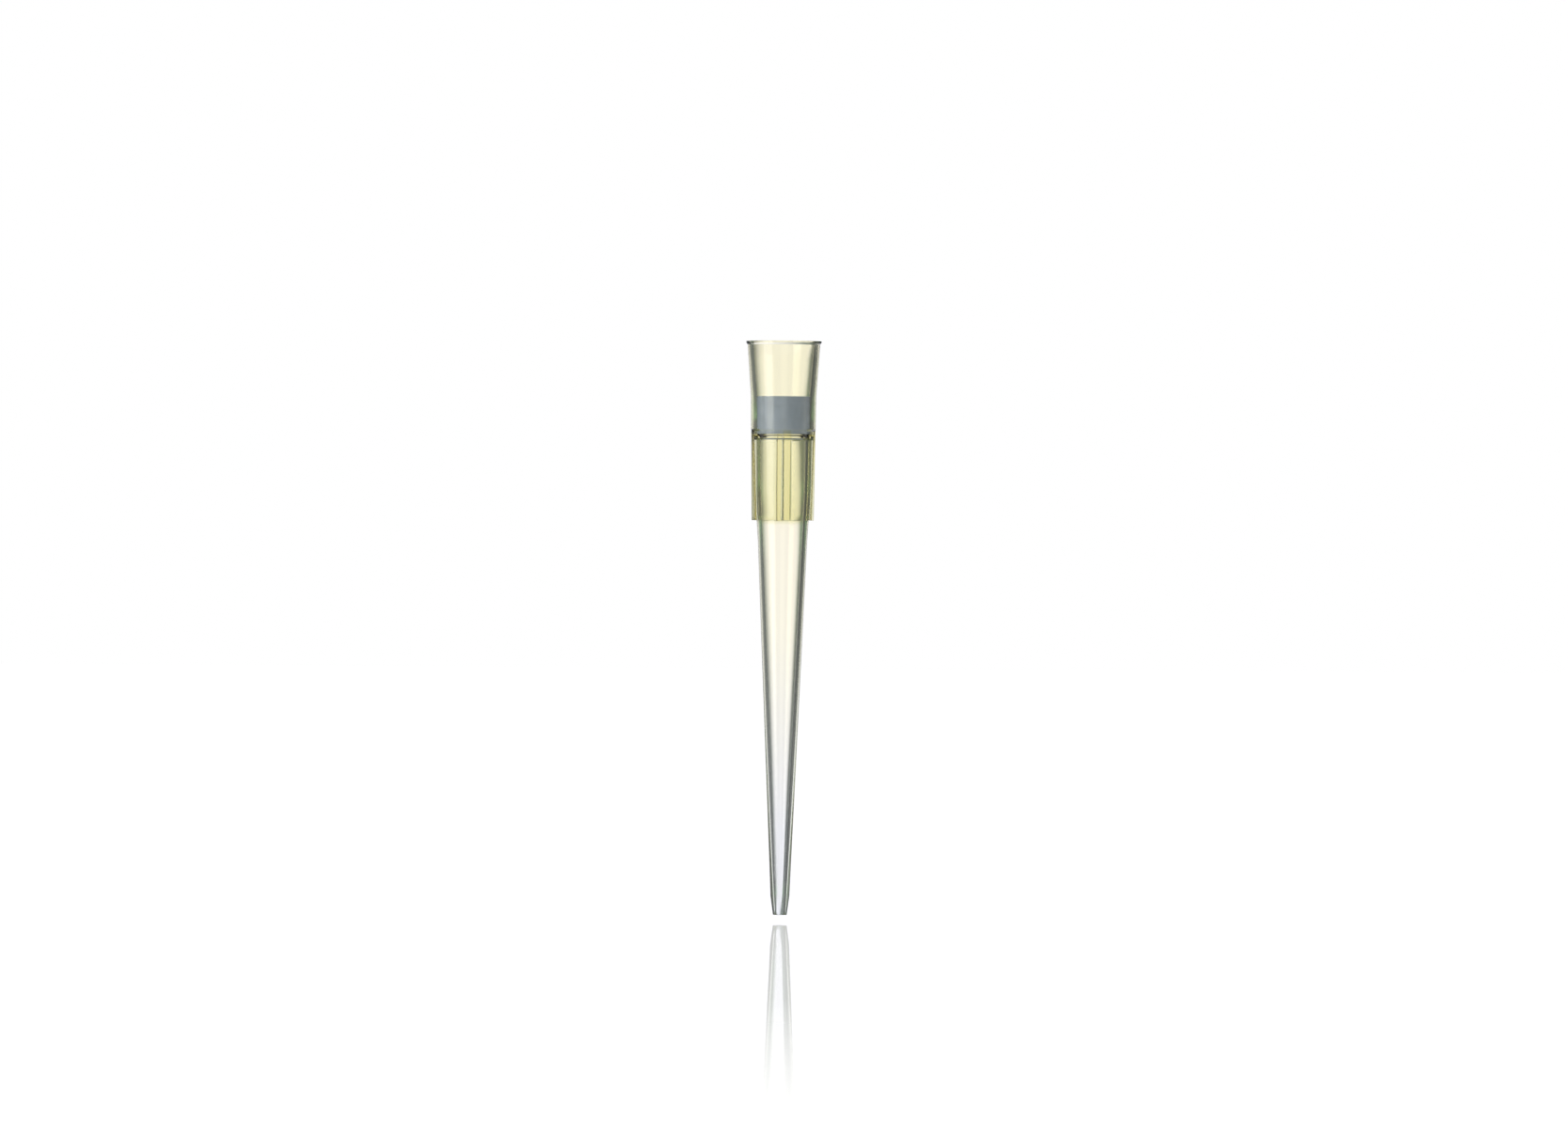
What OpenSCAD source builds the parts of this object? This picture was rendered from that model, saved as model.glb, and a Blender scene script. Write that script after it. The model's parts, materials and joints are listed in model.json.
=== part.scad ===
// Filter pipette tip: a moulded tapered tube with a sintered filter plug pressed into its collar.
// Depths are measured down from the rim, along the tip's axis.
// Walls are radial: each outer surface is the hollow's radius at that depth plus its wall.

/* [Mouth] */
// Depth of the lead-in taper inside the rim
lead_in_depth = 1.4; // [0.2:0.1:2]
// Radial width of the lead-in taper
lead_in_width = 0.13; // [0.05:0.01:0.3]
// Height of the thin lip that flares out at the rim
lip_height = 0.35; // [0.2:0.05:0.8]
// How far the lip stands out from the collar
lip_flare = 0.135; // [0.05:0.005:0.4]

/* [Socket] */
// Diameter of the land that seals on a pipette's nose
land_d = 5.6; // [5.2:0.02:6.0]
// Length of the sealing land
land_length = 1.2; // [1:0.1:4]
// Wall of the collar at the mouth
mouth_wall = 0.63; // [0.45:0.01:1]

/* [Filter] */
// Gap between the end of the sealing land and the filter
filter_standoff = 2.6; // [0.5:0.1:4]
// Length of the filter plug
filter_length = 3.56; // [2:0.02:6]
// Diameter of the filter's bore at its top
filter_bore_top_d = 5.04; // [4.6:0.02:5.2]
// Diameter of the filter's bore at the ledge
filter_bore_foot_d = 4.98; // [4.5:0.02:5.04]
// Radial clearance between the plug and its bore
plug_clearance = 0.01; // [0.005:0.005:0.03]
// Wall of the collar around the filter
collar_wall = 0.57; // [0.5:0.01:0.9]
// Distance from the collar's foot down to the ledge
collar_foot_rise = 0.46; // [0.3:0.02:1]
// Height of the bevel that joins the collar's foot to the neck
collar_foot_bevel = 0.2; // [0.1:0.02:0.3]

/* [Ledge] */
// Diameter of the hole in the ledge that carries the filter
ledge_hole_d = 4.4; // [4.3:0.02:4.6]
// Height of the bevel under the ledge's edge
ledge_bevel = 0.44; // [0.2:0.02:0.8]

/* [Hollow] */
// Diameter of the hollow below the ledge
throat_d = 4.26; // [3.8:0.02:4.3]
// Distance from the ledge to where the hollow starts to narrow faster
throat_length = 5.34; // [3:0.02:7]
// Diameter of the hollow where it starts to narrow faster
upper_hollow_d = 4.2; // [3.6:0.02:4.2]
// Length of the long taper of the hollow
taper_length = 25.9; // [20:0.1:30]
// Diameter of the hollow at the end of its long taper
lower_hollow_d = 1.88; // [1.4:0.02:2.2]
// Length of the slender end of the hollow
slender_length = 14; // [8:0.5:20]
// Diameter of the hole at the narrow end
orifice_d = 0.7; // [0.4:0.02:1]

/* [Body] */
// Wall of the neck at the collar, against the hollow just below the ledge
neck_wall = 0.74; // [0.7:0.01:0.86]
// Distance from the ledge to the shoulder
neck_length = 8.11; // [6:0.05:10]
// Wall just above the shoulder
shoulder_wall = 0.63; // [0.56:0.01:0.8]
// Wall just below the shoulder
cone_top_wall = 0.48; // [0.4:0.01:0.54]
// Length over which the shoulder runs into the cone
shoulder_run = 1.9; // [0.5:0.1:4]
// Wall of the cone below the shoulder
cone_wall = 0.44; // [0.3:0.01:0.5]
// Length of the nose bevel at the narrow end
nose_length = 1.8; // [0.5:0.1:4]
// Wall where the nose bevel starts
nose_wall = 0.47; // [0.3:0.01:0.6]
// Wall at the narrow end
end_wall = 0.3; // [0.15:0.01:0.4]

/* [Ribs] */
// Number of ribs around the neck
rib_count = 4; // [2:1:8]
// How far a rib stands out from the neck at the collar
rib_top_height = 0.16; // [0.04:0.01:0.16]
// How far a rib stands out from the neck at the shoulder
rib_foot_height = 0.32; // [0.2:0.01:0.4]
// Thickness of a rib at the collar
rib_top_thickness = 0.68; // [0.4:0.02:1]
// Thickness of a rib at the shoulder
rib_foot_thickness = 0.62; // [0.4:0.02:0.9]

/* [Hidden] */

$fn = 96;
// how far a cutting or joining solid runs past the face that it crosses
past = 0.3;

// depths of the features below the rim
land_end = lead_in_depth + land_length;
filter_top = land_end + filter_standoff;
ledge = filter_top + filter_length;
throat = ledge + ledge_bevel;
collar_foot = ledge - collar_foot_rise;
neck_top = collar_foot + collar_foot_bevel;
upper_hollow = ledge + throat_length;
lower_hollow = upper_hollow + taper_length;
tip_length = lower_hollow + slender_length;
shoulder = ledge + neck_length;
nose = tip_length - nose_length;

// the hollow from the rim down to the narrow end, as [depth, radius]
HOLLOW = [
    [0, land_d / 2 + lead_in_width],
    [lead_in_depth, land_d / 2],
    [land_end, land_d / 2],
    [filter_top, filter_bore_top_d / 2],
    [ledge, filter_bore_foot_d / 2],
    [ledge, ledge_hole_d / 2],
    [throat, throat_d / 2],
    [upper_hollow, upper_hollow_d / 2],
    [lower_hollow, lower_hollow_d / 2],
    [tip_length, orifice_d / 2],
];

// radius of the hollow at a depth below the ledge
function hollow_r(depth) = lookup(depth, [for (p = HOLLOW) if (p[0] >= throat) p]);

// the outer surface, which ends in the collar's foot, the shoulder and the nose
collar_r = land_d / 2 + mouth_wall;
collar_foot_r = filter_bore_foot_d / 2 + collar_wall;
neck_r = throat_d / 2 + neck_wall;
shoulder_r = hollow_r(shoulder) + shoulder_wall;
rib_top_r = neck_r + rib_top_height;
rib_foot_r = shoulder_r + rib_foot_height;
OUTSIDE = [
    [0, collar_r + lip_flare],
    [lip_height, collar_r],
    [filter_top, filter_bore_top_d / 2 + collar_wall],
    [collar_foot, collar_foot_r],
    [neck_top, neck_r],
    [shoulder, shoulder_r],
    [shoulder, hollow_r(shoulder) + cone_top_wall],
    [shoulder + shoulder_run, hollow_r(shoulder + shoulder_run) + cone_wall],
    [nose, hollow_r(nose) + nose_wall],
    [tip_length, orifice_d / 2 + end_wall],
];

// height in the part's frame, whose origin is where the sealing land starts
function height(depth) = lead_in_depth - depth;

// a solid of revolution from [depth, radius] points, closed on the axis
module turned(points) {
    first = points[0][0];
    last = points[len(points) - 1][0];
    outline = [for (p = points) [p[1], height(p[0])]];
    rotate_extrude() polygon(concat([[0, height(first)]], outline, [[0, height(last)]]));
}

// the hollow as a cutter that runs out past both ends
module hollow() {
    turned(concat([[-past, HOLLOW[0][1]]], HOLLOW, [[tip_length + past, orifice_d / 2]]));
}

// one rib as a drafted plate from the axis outwards, along +X, before it is trimmed round
module rib_plate() {
    half_top = rib_top_thickness / 2;
    half_foot = rib_foot_thickness / 2;
    top = height(collar_foot);
    foot = height(shoulder);
    rotate([90, 0, 90])
        linear_extrude(height = collar_r)
            polygon([[-half_foot, foot], [half_foot, foot], [half_top, top], [-half_top, top]]);
}

// the ribs, trimmed round and rooted in the collar's foot
module ribs() {
    intersection() {
        for (i = [0 : rib_count - 1]) rotate([0, 0, 360 * i / rib_count]) rib_plate();
        turned([[collar_foot, rib_top_r], [shoulder, rib_foot_r]]);
    }
}

module tip_body() {
    color([0.93, 0.92, 0.76, 0.6])
        difference() {
            union() {
                turned(OUTSIDE);
                ribs();
            }
            hollow();
        }
}

module filter_plug() {
    color([0.62, 0.65, 0.69])
        translate([0, 0, height(ledge)])
            cylinder(
                r1 = filter_bore_foot_d / 2 - plug_clearance,
                r2 = filter_bore_top_d / 2 - plug_clearance,
                h = filter_length
            );
}

tip_body();
filter_plug();
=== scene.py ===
"""The looks of a filter pipette tip: a clear moulded body around a grey sintered plug."""

import json
import math

import bmesh
import bpy
from mathutils import Matrix, Vector


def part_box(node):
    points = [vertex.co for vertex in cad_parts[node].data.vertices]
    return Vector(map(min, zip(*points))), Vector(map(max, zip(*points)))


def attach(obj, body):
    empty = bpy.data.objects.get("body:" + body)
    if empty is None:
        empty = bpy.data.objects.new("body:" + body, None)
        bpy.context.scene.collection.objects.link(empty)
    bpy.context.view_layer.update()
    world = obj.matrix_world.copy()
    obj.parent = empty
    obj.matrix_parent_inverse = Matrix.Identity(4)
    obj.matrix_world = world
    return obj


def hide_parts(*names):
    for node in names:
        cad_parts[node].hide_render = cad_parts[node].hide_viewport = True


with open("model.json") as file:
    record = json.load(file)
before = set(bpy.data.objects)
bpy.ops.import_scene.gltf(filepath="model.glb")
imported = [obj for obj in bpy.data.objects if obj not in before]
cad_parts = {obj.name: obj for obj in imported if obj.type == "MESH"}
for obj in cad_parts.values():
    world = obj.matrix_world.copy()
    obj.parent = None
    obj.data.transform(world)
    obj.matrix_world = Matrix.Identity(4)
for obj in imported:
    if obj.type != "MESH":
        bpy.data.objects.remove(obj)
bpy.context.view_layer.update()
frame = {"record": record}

MM = 0.001
DEGREE = math.pi / 180

# ---------------------------------------------------------------- sizes, in millimetres
# Depths are measured down from the rim. The mouth, the plug's radius, and the places of the
# rim, the narrow end, the shoulder and the plug's ends come from the frame.
socket = next(m for m in frame["record"]["mounts"] if m["name"] == "pipette_socket")
rack_rest = next(m for m in frame["record"]["mounts"] if m["name"] == "rack_rest")
body_low, body_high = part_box("tip_body")
plug_low, plug_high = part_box("filter_plug")

# how much wider the mouth is at the rim than at its sealing land
lead_in_width = 0.13

rim_height = body_high.z / MM
tip_length = (body_high.z - body_low.z) / MM
rim_r = body_high.x / MM
mouth_r = socket["dims"]["r_mm"] + lead_in_width
plug_top_r = plug_high.x / MM
filter_top = rim_height - plug_high.z / MM
ledge = rim_height - plug_low.z / MM
shoulder = rim_height - rack_rest["pos_m"][2] / MM

lip_height = 0.35
collar_r = 3.43
filter_bore_top_r = 2.52
filter_bore_foot_r = 2.49
collar_wall = 0.57
collar_foot = 8.3
neck_top = 8.5
throat_r = 2.13
upper_hollow = 14.1
upper_hollow_r = 2.1
lower_hollow = 40.0
lower_hollow_r = 0.94
orifice_r = 0.35
neck_r = 2.87
shoulder_r = 2.606
cone_top_r = 2.456
cone_start = 18.77
cone_start_r = 2.331
nose = 52.2
nose_r = 0.896
end_r = 0.65

rib_count = 4
rib_top_r = 3.03
rib_foot_r = 2.926
rib_top_thickness = 0.68
rib_foot_thickness = 0.62

# radius of the moulding's edges, of the ribs' outer edges and of the fillets at their roots
edge_radius = 0.03
rib_edge_radius = 0.1
rib_root_radius = 0.22
# the lip's upright edge: how far down it runs before the lip narrows, and how far it leans in
lip_edge = 0.17
lip_edge_lean = 0.015
# the ledge's worn edge down to the throat, as (out of the throat's wall, below the ledge)
ledge_edge = ((0.25, 0), (0.2, 0.09), (0.05, 0.2), (-0.055, 0.37), (0, 0.52))
# radius of the plug's edges, and of the small face that closes each of its ends
plug_edge_radius = 0.06
plug_centre_r = 0.02


# ---------------------------------------------------------------- mesh helpers
# pieces of the arc that rounds a corner, and the most that it takes of the sides next to it
CORNER_STEPS = 4
CORNER_SHARE = 0.45
# a corner stays as it is when half of the angle between its sides is wider than this
NEARLY_STRAIGHT = 80 * DEGREE
# points closer than this are merged, in metres
MERGE_DISTANCE = 1e-7
# edges that turn by more than this stay sharp
SHARP_ANGLE = 30 * DEGREE
# how strongly the large faces lead the shading, of 1 to 100
LARGE_FACES_LEAD = 100


def rounded(corners, radius):
    """The polyline with an arc in place of each inner corner that turns visibly."""
    points = [corners[0]]
    for before, corner, after in zip(corners, corners[1:], corners[2:]):
        to_before, to_after = before - corner, after - corner
        half_angle = to_before.angle(to_after) / 2
        if half_angle > NEARLY_STRAIGHT:
            points.append(corner)
            continue
        room = CORNER_SHARE * min(to_before.length, to_after.length)
        reach = min(radius / math.tan(half_angle), room)
        points.extend(arc(corner, to_before.normalized(), to_after.normalized(), reach))
    points.append(corners[-1])
    return points


def arc(corner, to_before, to_after, reach):
    """Points of the arc that touches both sides of a corner at a distance reach from it."""
    half_angle = to_before.angle(to_after) / 2
    bisector = (to_before + to_after).normalized()
    centre = corner + bisector * (reach / math.cos(half_angle))
    start = corner + to_before * reach - centre
    end = corner + to_after * reach - centre
    turn = start.angle_signed(end)
    return [centre + Matrix.Rotation(-turn * i / CORNER_STEPS, 2) @ start
            for i in range(CORNER_STEPS + 1)]


def spaced(points, longest):
    """The polyline with its long stretches cut into pieces no longer than longest."""
    result = [points[0]]
    for start, end in zip(points, points[1:]):
        pieces = max(1, math.ceil((end - start).length / longest))
        result.extend(start.lerp(end, i / pieces) for i in range(1, pieces + 1))
    return result


def circle(radius, depth, columns):
    """A ring of points round the axis."""
    z = rim_height - depth
    turns = [math.tau * i / columns for i in range(columns)]
    return [Vector((radius * math.cos(a), radius * math.sin(a), z)) * MM for a in turns]


def band(upper, lower, columns):
    """The faces between two rings, which are given by their places in the list of rings."""
    faces = []
    for i in range(columns):
        j = (i + 1) % columns
        faces.append((upper * columns + i, upper * columns + j,
                      lower * columns + j, lower * columns + i))
    return faces


def finished_mesh(name, rings, faces):
    """An object with merged points, outward faces and smooth shading that keeps flats flat."""
    mesh = bpy.data.meshes.new(name)
    mesh.from_pydata([p for ring in rings for p in ring], [], faces)
    work = bmesh.new()
    work.from_mesh(mesh)
    bmesh.ops.remove_doubles(work, verts=work.verts, dist=MERGE_DISTANCE)
    bmesh.ops.recalc_face_normals(work, faces=work.faces)
    work.to_mesh(mesh)
    work.free()
    mesh.shade_smooth()
    mesh.set_sharp_from_angle(angle=SHARP_ANGLE)
    made = bpy.data.objects.new(name, mesh)
    bpy.context.scene.collection.objects.link(made)
    weighted = made.modifiers.new("flat_faces_lead", "WEIGHTED_NORMAL")
    weighted.weight = LARGE_FACES_LEAD
    weighted.keep_sharp = True
    return made


# ---------------------------------------------------------------- the moulded body
# pieces of half of a rib's face, of the wall from a rib half way to the next, and of the neck's
# height; and shares of the bevel's height at which rings lie between the neck and the collar
FACE_STEPS = 2
WALL_STEPS = 24
NECK_STEPS = 16
BEVEL_SHARES = (0.5, 0.83)
# longest stretch between two rings of the turned surface, in millimetres
BODY_STRETCH = 2.0
# a rib that stands out less than this doesn't stand out, in millimetres
FLUSH = 1e-6
# the most that a rib's outer edge and its root's fillet take of the rib's side
RIB_EDGE_SHARE = 0.3
RIB_ROOT_SHARE = 0.68


def between(depth, start, end, first, last):
    """A value that runs from first to last between two depths."""
    return first + (last - first) * (depth - start) / (end - start)


def on_circle(radius, angle):
    """A point of the neck's outline at an angle from a rib's middle."""
    return Vector((radius * math.cos(angle), radius * math.sin(angle)))


def wall_between(radius, start):
    """Points of the neck's wall, from just after the angle start to half way to the next rib."""
    half_pitch = math.pi / rib_count
    angles = [between(i, 0, WALL_STEPS, start, half_pitch) for i in range(1, WALL_STEPS + 1)]
    return [on_circle(radius, a) for a in angles]


def neck_section(depth):
    """The radius of the neck's wall and of the ribs, and half of a rib's thickness, at a depth."""
    if depth < neck_top:
        radius = between(depth, collar_foot, neck_top, filter_bore_foot_r + collar_wall, neck_r)
    else:
        radius = between(depth, neck_top, shoulder, neck_r, shoulder_r)
    rib_r = max(radius, between(depth, collar_foot, shoulder, rib_top_r, rib_foot_r))
    half_rib = between(depth, collar_foot, shoulder, rib_top_thickness, rib_foot_thickness) / 2
    return radius, rib_r, half_rib


def neck_half(depth):
    """Half of the outline between two ribs' middles, from a rib's middle on."""
    radius, rib_r, half_rib = neck_section(depth)
    face_end = math.asin(half_rib / rib_r)
    wall_start = math.asin(half_rib / radius)
    outer = Vector((math.sqrt(rib_r ** 2 - half_rib ** 2), half_rib))
    root = Vector((math.sqrt(radius ** 2 - half_rib ** 2), half_rib))
    points = [on_circle(rib_r, face_end * i / FACE_STEPS) for i in range(FACE_STEPS)]
    side = outer - root
    if side.length < FLUSH:
        points.extend([outer] * (2 * (CORNER_STEPS + 1)))
        return points + wall_between(radius, wall_start)
    to_face = points[-1] - outer
    to_wall = wall_between(radius, wall_start)[0] - root
    edge = min(rib_edge_radius, RIB_EDGE_SHARE * side.length, CORNER_SHARE * to_face.length)
    fillet = min(rib_root_radius, RIB_ROOT_SHARE * side.length)
    points.extend(arc(outer, to_face.normalized(), -side.normalized(), edge))
    points.extend(arc(root, side.normalized(), to_wall.normalized(), fillet))
    return points + wall_between(radius, wall_start + fillet / radius)


def neck_ring(depth, inset=0.0):
    """The outline of the ribbed neck at a depth, drawn in by inset."""
    half = neck_half(depth)
    pitch = math.tau / rib_count
    mirrored = [Matrix.Rotation(pitch, 2) @ Vector((p.x, -p.y)) for p in reversed(half[1:-1])]
    one_pitch = half + mirrored
    outline = [Matrix.Rotation(pitch * i, 2) @ p for i in range(rib_count) for p in one_pitch]
    if inset:
        count = len(outline)
        ahead = [outline[(i + 1) % count] - outline[i - 1] for i in range(count)]
        outline = [p + Vector((-t.y, t.x)).normalized() * inset for p, t in zip(outline, ahead)]
    z = rim_height - depth
    return [Vector((p.x, p.y, z)) * MM for p in outline]


def neck_rings():
    """The rings of the neck, from the rounded edge at the shoulder up to the collar's foot."""
    rings = []
    for i in range(CORNER_STEPS + 1):
        angle = i * math.pi / 2 / CORNER_STEPS
        depth = shoulder - edge_radius * (1 - math.cos(angle))
        rings.append(neck_ring(depth, edge_radius * (1 - math.sin(angle))))
    for i in range(1, NECK_STEPS + 1):
        rings.append(neck_ring(shoulder - (shoulder - neck_top) * i / NECK_STEPS))
    for share in BEVEL_SHARES:
        rings.append(neck_ring(neck_top - (neck_top - collar_foot) * share))
    return rings


def turned_corners():
    """The corners of the turned surface, from the collar's foot over the rim to the shoulder."""
    return [Vector(p) for p in (
        (neck_r, neck_top),
        (filter_bore_foot_r + collar_wall, collar_foot),
        (filter_bore_top_r + collar_wall, filter_top),
        (collar_r, lip_height),
        (rim_r - lip_edge_lean, lip_edge),
        (rim_r, 0),
        (mouth_r, 0),
        (filter_bore_top_r, filter_top),
        (filter_bore_foot_r, ledge),
        *((throat_r + out, ledge + below) for out, below in ledge_edge),
        (upper_hollow_r, upper_hollow),
        (lower_hollow_r, lower_hollow),
        (orifice_r, tip_length),
        (end_r, tip_length),
        (nose_r, nose),
        (cone_start_r, cone_start),
        (cone_top_r, shoulder),
    )]


def tip_body():
    """The body, from the collar's foot over the rim, down the hollow and back up the neck."""
    neck = neck_rings()
    columns = len(neck[0])
    profile = spaced(rounded(turned_corners(), edge_radius), BODY_STRETCH)[1:]
    rings = [circle(p.x, p.y, columns) for p in profile] + neck
    faces = []
    for row in range(len(rings)):
        faces.extend(band(row, (row + 1) % len(rings), columns))
    return finished_mesh("tip_body_moulding", rings, faces)


# ---------------------------------------------------------------- the filter plug
PLUG_COLUMNS = 192
# longest stretch between two of its rings, in millimetres
PLUG_STRETCH = 0.5


def filter_plug():
    """The plug, with slightly rounded edges."""
    plug_foot_r = plug_top_r - (filter_bore_top_r - filter_bore_foot_r)
    corners = [Vector(p) for p in (
        (plug_centre_r, ledge),
        (plug_foot_r, ledge),
        (plug_top_r, filter_top),
        (plug_centre_r, filter_top),
    )]
    profile = spaced(rounded(corners, plug_edge_radius), PLUG_STRETCH)
    rings = [circle(p.x, p.y, PLUG_COLUMNS) for p in profile]
    faces = []
    for row in range(len(rings) - 1):
        faces.extend(band(row, row + 1, PLUG_COLUMNS))
    last_ring = (len(rings) - 1) * PLUG_COLUMNS
    faces.append(list(range(PLUG_COLUMNS)))
    faces.append([last_ring + i for i in range(PLUG_COLUMNS)])
    return finished_mesh("filter_plug_sintered", rings, faces)


# ---------------------------------------------------------------- node helpers
WHITE = (1, 1, 1, 1)


def set_input(tree, socket_in, value):
    """Gives an input a value, or links another node's output to it."""
    if isinstance(value, bpy.types.NodeSocket):
        tree.links.new(value, socket_in)
    else:
        socket_in.default_value = value


def add_node(tree, kind, inputs=None, **settings):
    """A node with its settings and its inputs, each a value or another node's output."""
    made = tree.nodes.new(kind)
    for name, value in settings.items():
        setattr(made, name, value)
    for name, value in (inputs or {}).items():
        set_input(tree, made.inputs[name], value)
    return made


def ramp(tree, value, start, end, shape="SMOOTHSTEP"):
    """0 before start, 1 after end and even between them."""
    return add_node(tree, "ShaderNodeMapRange", {
        "Value": value, "From Min": start, "From Max": end},
        interpolation_type=shape).outputs["Result"]


def calculate(tree, operation, *values):
    """The result of a Math node."""
    made = add_node(tree, "ShaderNodeMath", operation=operation)
    for socket_in, value in zip(made.inputs, values):
        set_input(tree, socket_in, value)
    return made.outputs["Value"]


def mix_colours(tree, factor, first, second):
    """A blend of two colours, each a colour or another node's output."""
    made = add_node(tree, "ShaderNodeMix", {"Factor": factor}, data_type="RGBA")
    for socket_in, value in zip([s for s in made.inputs if s.type == "RGBA"], (first, second)):
        set_input(tree, socket_in, value)
    return next(s for s in made.outputs if s.type == "RGBA")


def colour_ramp(tree, value, stops):
    """A colour that runs through (position, colour) stops."""
    made = add_node(tree, "ShaderNodeValToRGB", {"Fac": value})
    elements = made.color_ramp.elements
    while len(elements) < len(stops):
        elements.new(1.0)
    for element, (position, colour) in zip(elements, stops):
        element.position = position
        element.color = (*colour, 1)
    return made.outputs["Color"]


def new_material(name):
    """A material with an empty tree and its output node."""
    material = bpy.data.materials.new(name)
    material.use_nodes = True
    material.node_tree.nodes.clear()
    output = add_node(material.node_tree, "ShaderNodeOutputMaterial")
    return material, material.node_tree, output


# ---------------------------------------------------------------- materials
# The plastic's tint at shares of the tip's length, from the narrow end up. It is strongest from
# the shoulder to the ledge.
wall_tints = (
    (0.15, (0.932, 0.947, 0.985)),
    (0.5, (1, 0.99, 0.925)),
    (0.68, (1, 0.985, 0.915)),
    (0.69, (0.907, 0.89, 0.69)),
    (0.835, (0.922, 0.91, 0.75)),
    (0.845, (0.98, 0.965, 0.85)),
)
# The ribs' tint grows over these distances out of the neck's radius, in millimetres, and between
# these shares of the tip's length, from the collar's foot down.
rib_tint = (0.93, 0.86, 0.48, 1)
rib_tint_start = 0.01
rib_tint_end = 0.04
rib_tint_top = 0.846
rib_tint_full = 0.842
# the yellow that the light takes on inside the plastic
plastic_depth_colour = (0.875, 0.8, 0.1, 1)
plastic_density = 150.0
# the depth of the plastic's fine unevenness and of the filter's beads
grain_depth = 0.02 * MM
bead_depth = 0.03 * MM
# the filter's two greys and the shares of the cloud pattern at which they lie
filter_greys = ((0.3, (0.325, 0.41, 0.68)), (0.7, (0.38, 0.475, 0.77)))


def plastic_tint(tree, place):
    """The plastic's tint at a place of the body, by its height and on the ribs."""
    axes = add_node(tree, "ShaderNodeSeparateXYZ", {"Vector": place}).outputs
    share = ramp(tree, axes["Z"], body_low.z, body_high.z, "LINEAR")
    wall = colour_ramp(tree, share, wall_tints)
    radius = calculate(tree, "SQRT", calculate(
        tree, "MULTIPLY_ADD", axes["X"], axes["X"],
        calculate(tree, "MULTIPLY", axes["Y"], axes["Y"])))
    rib = ramp(tree, radius, (neck_r + rib_tint_start) * MM, (neck_r + rib_tint_end) * MM)
    rib = calculate(tree, "MULTIPLY", rib, ramp(tree, share, rib_tint_top, rib_tint_full))
    return mix_colours(tree, rib, wall, rib_tint)


def clear_plastic():
    """Clear polypropylene, faintly yellow where it is thick, and most of all in the ribs."""
    material, tree, output = new_material("clear_polypropylene")
    place = add_node(tree, "ShaderNodeTexCoord").outputs["Object"]
    grain = add_node(tree, "ShaderNodeTexNoise", {
        "Vector": place, "Scale": 2500.0, "Detail": 3.0, "Roughness": 0.6})
    bump = add_node(tree, "ShaderNodeBump", {
        "Height": grain.outputs["Fac"], "Strength": 0.02, "Distance": grain_depth})
    shader = add_node(tree, "ShaderNodeBsdfPrincipled", {
        "Base Color": plastic_tint(tree, place), "Roughness": 0.03, "IOR": 1.49,
        "Transmission Weight": 1.0, "Normal": bump.outputs["Normal"]})
    tint = add_node(tree, "ShaderNodeVolumeAbsorption", {
        "Color": plastic_depth_colour, "Density": plastic_density})
    tree.links.new(shader.outputs["BSDF"], output.inputs["Surface"])
    tree.links.new(tint.outputs["Volume"], output.inputs["Volume"])
    return material


def sintered_plastic():
    """Grey sintered polyethylene: fine beads fused together."""
    material, tree, output = new_material("sintered_polyethylene")
    place = add_node(tree, "ShaderNodeTexCoord").outputs["Object"]
    beads = add_node(tree, "ShaderNodeTexVoronoi", {"Vector": place, "Scale": 9000.0})
    cloud = add_node(tree, "ShaderNodeTexNoise", {
        "Vector": place, "Scale": 1200.0, "Detail": 4.0, "Roughness": 0.6})
    bump = add_node(tree, "ShaderNodeBump", {
        "Height": beads.outputs["Distance"], "Strength": 0.3, "Distance": bead_depth})
    shader = add_node(tree, "ShaderNodeBsdfPrincipled", {
        "Base Color": colour_ramp(tree, cloud.outputs["Fac"], filter_greys),
        "Roughness": 0.75, "IOR": 1.4, "Normal": bump.outputs["Normal"]})
    tree.links.new(shader.outputs["BSDF"], output.inputs["Surface"])
    return material


# ---------------------------------------------------------------- camera
camera_azimuth = -7.3 * DEGREE
camera_distance = 1221 * MM
# how far below the rim the camera stands, in millimetres
camera_depth = 21.35
camera_height = (rim_height - camera_depth) * MM
camera_roll = 0.42 * DEGREE
# how far the camera aims to the right of the tip's axis
camera_aside = 0.16 * MM
# in millimetres, as on a real camera
sensor_width = 36
focal_length = 297.9
camera_near = 10 * MM

towards_camera = Vector((math.sin(camera_azimuth), -math.cos(camera_azimuth), 0))
rightwards = Vector((math.cos(camera_azimuth), math.sin(camera_azimuth), 0))


def add_camera():
    """A long lens at the height of the cone, level, leaning a hair to one side."""
    data = bpy.data.cameras.new("camera")
    data.sensor_width = sensor_width
    data.lens = focal_length
    data.clip_start = camera_near
    made = bpy.data.objects.new("camera", data)
    bpy.context.scene.collection.objects.link(made)
    target = Vector((0, 0, camera_height)) + rightwards * camera_aside
    made.location = target + towards_camera * camera_distance
    level = (-towards_camera).to_track_quat("-Z", "Y")
    made.rotation_mode = "QUATERNION"
    made.rotation_quaternion = level @ Matrix.Rotation(camera_roll, 3, "Z").to_quaternion()
    bpy.context.scene.camera = made


# ---------------------------------------------------------------- the room
# Angles in the world are azimuths from straight behind the tip, to the right as the camera sees
# it, and elevations. Where an angle has a start and an end, the change between them is soft.
# The backdrop is white up to its core and gone at its foot, on either side.
backdrop_left_core = -7 * DEGREE
backdrop_left_foot = -32 * DEGREE
backdrop_right_core = 7.4 * DEGREE
backdrop_right_foot = 19 * DEGREE
backdrop_top_core = 14 * DEGREE
backdrop_top_foot = 18 * DEGREE
# how far the backdrop leans to the left going up
backdrop_lean = 0.9
backdrop_colour = (1, 0.99, 1.07, 1)
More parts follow.
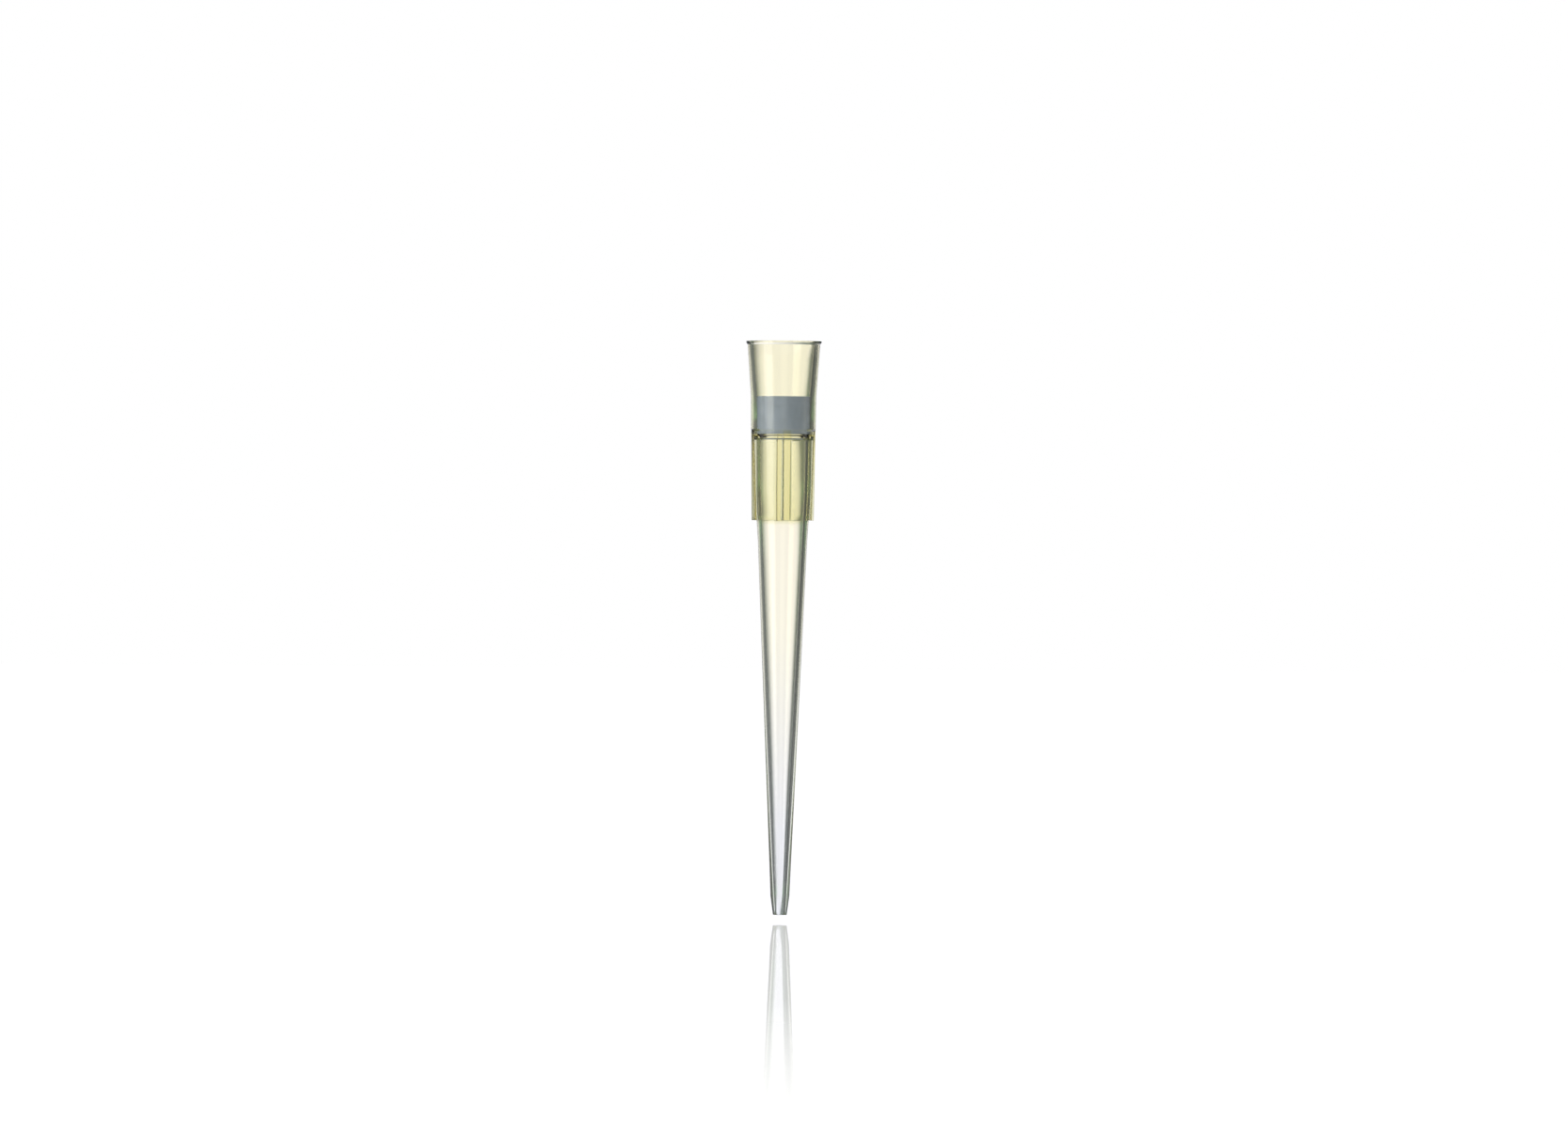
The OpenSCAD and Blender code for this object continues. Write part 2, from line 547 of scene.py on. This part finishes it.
# the room's colour at a few elevations in degrees, how bright it is at its left and its right,
# and the azimuths between which that changes
room_colours = ((-1.2, (0.48, 0.54, 0.59)), (-0.8, (0.5, 0.65, 0.57)), (0.2, (0.66, 1, 0.72)),
                (0.9, (0.66, 1, 0.72)), (1.7, (0.66, 0.8, 0.74)))
room_left = 0.35
room_right = 0.25
room_turn_start = -10 * DEGREE
room_turn_end = 20 * DEGREE
# the room's far walls start at these azimuths, with an edge this wide
far_left = -50 * DEGREE
far_right = 37 * DEGREE
far_edge = 10 * DEGREE
far_colour = (0.1, 0.11, 0.116, 1)
# a white strip at either side of the tip
strip_middle = 90 * DEGREE
strip_core = 7 * DEGREE
strip_foot = 16 * DEGREE
ceiling_start = 16 * DEGREE
ceiling_end = 22 * DEGREE
ceiling_colour = (0.12, 0.14, 0.06, 1)
# the room's front, on the camera's side: how bright it is at its left and its right, how far to
# either side that change reaches (1 is square to the side), and the azimuths, to the left and to
# the right alike, at which the front and its white middle start
front_left = 1.0
front_right = 0.45
front_reach = 0.8
front_start = 88 * DEGREE
front_end = 104 * DEGREE
middle_start = 164 * DEGREE
middle_end = 173 * DEGREE
# the pale floor of the room starts this far below level
floor_start = 10 * DEGREE
floor_end = 14 * DEGREE
# dark stripes cross that floor: how many there are, the cosines of their turn between which each
# goes from dark to pale, and how far below level they fade out
skirting_count = 8
skirting_dark = -0.7
skirting_pale = 0.2
skirting_start = 40 * DEGREE
skirting_end = 60 * DEGREE


def by_elevation(tree, rise, stops):
    """A colour that runs through (elevation in degrees, colour) stops."""
    colour = (*stops[0][1], 1)
    for (low, _), (high, above) in zip(stops, stops[1:]):
        share = ramp(tree, rise, math.sin(low * DEGREE), math.sin(high * DEGREE), "LINEAR")
        colour = mix_colours(tree, share, colour, (*above, 1))
    return colour


def grey(level):
    """A grey as a node colour."""
    return (level, level, level, 1)


def skirting(tree, aside, rise):
    """0 on the floor's soft stripes, which shade a clear tip's sides, and 1 off them."""
    turn = calculate(tree, "MULTIPLY", calculate(tree, "SUBTRACT", aside, camera_azimuth),
                     skirting_count)
    plain = ramp(tree, calculate(tree, "COSINE", turn), skirting_dark, skirting_pale)
    deep = ramp(tree, rise, -math.sin(skirting_start), -math.sin(skirting_end))
    return calculate(tree, "MAXIMUM", plain, deep)


def dim_room(tree, aside, rise):
    """The colour of the room beside the backdrop."""
    level = ramp(tree, aside, room_turn_start, room_turn_end)
    level = calculate(tree, "MULTIPLY_ADD", level, room_right - room_left, room_left)
    return add_node(tree, "ShaderNodeVectorMath", {
        0: by_elevation(tree, rise, room_colours), "Scale": level},
        operation="SCALE").outputs["Vector"]


def backdrop_share(tree, aside, rise):
    """1 on the backdrop, 0 beyond it."""
    leaning = calculate(tree, "MULTIPLY_ADD", rise, backdrop_lean, aside)
    across = calculate(tree, "MULTIPLY",
                       ramp(tree, leaning, backdrop_left_foot, backdrop_left_core, "LINEAR"),
                       ramp(tree, leaning, backdrop_right_foot, backdrop_right_core))
    top = ramp(tree, rise, math.sin(backdrop_top_foot), math.sin(backdrop_top_core))
    return calculate(tree, "MULTIPLY", across, top)


def behind_tip(tree, aside, rise):
    """The colour of the room's half behind the tip, with its ceiling."""
    colour = mix_colours(tree, backdrop_share(tree, aside, rise), dim_room(tree, aside, rise),
                         backdrop_colour)
    far = calculate(tree, "MAXIMUM", ramp(tree, aside, far_left, far_left - far_edge),
                    ramp(tree, aside, far_right, far_right + far_edge))
    colour = mix_colours(tree, far, colour, far_colour)
    off_strip = calculate(tree, "ABSOLUTE", calculate(
        tree, "SUBTRACT", calculate(tree, "ABSOLUTE", aside), strip_middle))
    colour = mix_colours(tree, ramp(tree, off_strip, strip_foot, strip_core), colour, WHITE)
    above = ramp(tree, rise, math.sin(ceiling_start), math.sin(ceiling_end))
    return mix_colours(tree, above, colour, ceiling_colour)


def add_front(tree, aside, across, colour):
    """The colour with the room's front laid over it, from the sides of the tip on."""
    either_side = calculate(tree, "ABSOLUTE", aside)
    front = mix_colours(tree, ramp(tree, across, -front_reach, front_reach),
                        grey(front_left), grey(front_right))
    in_front = ramp(tree, either_side, front_start, front_end)
    colour = mix_colours(tree, in_front, colour, front)
    middle = ramp(tree, either_side, middle_start, middle_end)
    return mix_colours(tree, middle, colour, WHITE)


def add_world():
    """A white backdrop behind the tip, in a dim room with a pale floor and a pale front."""
    world = bpy.data.worlds.new("studio")
    bpy.context.scene.world = world
    world.use_nodes = True
    tree = world.node_tree
    tree.nodes.clear()
    direction = add_node(tree, "ShaderNodeTexCoord").outputs["Generated"]
    turned = add_node(tree, "ShaderNodeVectorRotate", {
        "Vector": direction, "Angle": -camera_azimuth}, rotation_type="Z_AXIS").outputs["Vector"]
    axes = add_node(tree, "ShaderNodeSeparateXYZ", {"Vector": turned}).outputs
    rise = axes["Z"]
    aside = calculate(tree, "ARCTAN2", axes["X"], axes["Y"])
    colour = add_front(tree, aside, axes["X"], behind_tip(tree, aside, rise))
    below = ramp(tree, rise, -math.sin(floor_start), -math.sin(floor_end))
    below = calculate(tree, "MULTIPLY", below, skirting(tree, aside, rise))
    seen = add_node(tree, "ShaderNodeLightPath").outputs["Is Camera Ray"]
    colour = mix_colours(tree, calculate(tree, "MAXIMUM", below, seen), colour, WHITE)
    background = add_node(tree, "ShaderNodeBackground", {"Color": colour, "Strength": 1.0})
    output = add_node(tree, "ShaderNodeOutputWorld")
    tree.links.new(background.outputs["Background"], output.inputs["Surface"])


# ---------------------------------------------------------------- the lamps
# how much a lamp loses for rays that have passed through the tip, so that it doesn't glare
# behind it
glare_cut = 0.45


def dim_behind_tip(lamp):
    """Gives a lamp nodes that make it weaker for rays that have passed through the tip."""
    lamp.use_nodes = True
    tree = lamp.node_tree
    tree.nodes.clear()
    through = add_node(tree, "ShaderNodeLightPath").outputs["Is Transmission Ray"]
    strength = calculate(tree, "MULTIPLY_ADD", through, -glare_cut, 1)
    emission = add_node(tree, "ShaderNodeEmission", {"Strength": strength})
    output = add_node(tree, "ShaderNodeOutputLight")
    tree.links.new(emission.outputs["Emission"], output.inputs["Surface"])


def add_softbox(name, azimuth, elevation, distance, width, height, radiance):
    """A rectangular lamp aimed at the tip. azimuth 0 is at the camera and grows to its right."""
    data = bpy.data.lights.new(name, "AREA")
    data.shape = "RECTANGLE"
    data.size, data.size_y = width, height
    data.energy = radiance * math.pi * width * height
    dim_behind_tip(data)
    made = bpy.data.objects.new(name, data)
    bpy.context.scene.collection.objects.link(made)
    flat = towards_camera * math.cos(azimuth) + rightwards * math.sin(azimuth)
    away = flat * math.cos(elevation) + Vector((0, 0, math.sin(elevation)))
    made.location = Vector((0, 0, camera_height)) + away * distance
    made.rotation_mode = "QUATERNION"
    made.rotation_quaternion = (-away).to_track_quat("-Z", "Y")


# ---------------------------------------------------------------- the floor
# half of the floor's width, in metres, and how far it lies below the narrow end
floor_reach = 3.0
floor_gap = 0.49 * MM
# the floor glows by itself, and is dull grey besides, so that it shows a faint soft shadow
floor_glow = 0.95
floor_grey = 0.2
# it is glossy at the tip and turns matte between these distances from it, in metres; its gloss
# is this share of what a surface with this refractive index shows
gloss_core = 0.23
gloss_foot = 0.45
gloss_share = 0.65
gloss_ior = 1.15
gloss_roughness = 0.03


def mix_shaders(tree, factor, first, second):
    """A blend of two shaders' outputs."""
    made = add_node(tree, "ShaderNodeMixShader", {"Fac": factor, 1: first, 2: second})
    return made.outputs["Shader"]


def floor_surface(tree):
    """The floor as the camera sees it."""
    matte = add_node(tree, "ShaderNodeBsdfDiffuse", {"Color": grey(floor_grey)})
    white = add_node(tree, "ShaderNodeEmission", {"Color": WHITE, "Strength": floor_glow})
    plain = add_node(tree, "ShaderNodeAddShader", {
        0: matte.outputs["BSDF"], 1: white.outputs["Emission"]})
    gloss = add_node(tree, "ShaderNodeBsdfGlossy", {
        "Color": WHITE, "Roughness": gloss_roughness})
    place = add_node(tree, "ShaderNodeTexCoord").outputs["Object"]
    off = add_node(tree, "ShaderNodeVectorMath", {0: place}, operation="LENGTH").outputs["Value"]
    near = ramp(tree, off, gloss_foot, gloss_core, "LINEAR")
    glancing = add_node(tree, "ShaderNodeFresnel", {"IOR": gloss_ior}).outputs["Fac"]
    shine = calculate(tree, "MULTIPLY", glancing, near)
    shine = calculate(tree, "MULTIPLY", shine, gloss_share)
    return mix_shaders(tree, shine, plain.outputs["Shader"], gloss.outputs["BSDF"])


def floor_white():
    """The floor's material, which isn't there for rays that come from the tip."""
    material, tree, output = new_material("floor_white")
    path = add_node(tree, "ShaderNodeLightPath").outputs
    from_tip = calculate(tree, "MAXIMUM", path["Is Transmission Ray"], path["Is Glossy Ray"])
    clear = add_node(tree, "ShaderNodeBsdfTransparent").outputs["BSDF"]
    surface = mix_shaders(tree, from_tip, floor_surface(tree), clear)
    tree.links.new(surface, output.inputs["Surface"])
    return material


def add_floor():
    """A pale glossy floor just under the tip, which the camera sees as white."""
    z = body_low.z - floor_gap
    corners = ((-1, -1), (1, -1), (1, 1), (-1, 1))
    mesh = bpy.data.meshes.new("floor")
    mesh.from_pydata([(x * floor_reach, y * floor_reach, z) for x, y in corners],
                     [], [(0, 1, 2, 3)])
    made = bpy.data.objects.new("floor", mesh)
    bpy.context.scene.collection.objects.link(made)
    mesh.materials.append(floor_white())


# ---------------------------------------------------------------- the scene
add_camera()
add_world()
add_softbox("softbox_left", azimuth=-53 * DEGREE, elevation=13.5 * DEGREE, distance=0.6,
            width=0.34, height=0.5, radiance=2.0)
add_softbox("softbox_top", azimuth=0, elevation=80 * DEGREE, distance=0.7,
            width=0.5, height=0.5, radiance=1.0)
add_floor()

for make, node_name, slot, material in (
    (tip_body, "tip_body", "clear_plastic", clear_plastic()),
    (filter_plug, "filter_plug", "filter", sintered_plastic()),
):
    piece = make()
    piece.data.materials.append(material)
    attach(piece, "root")
    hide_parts(node_name)

bpy.context.scene.view_settings.view_transform = "Standard"
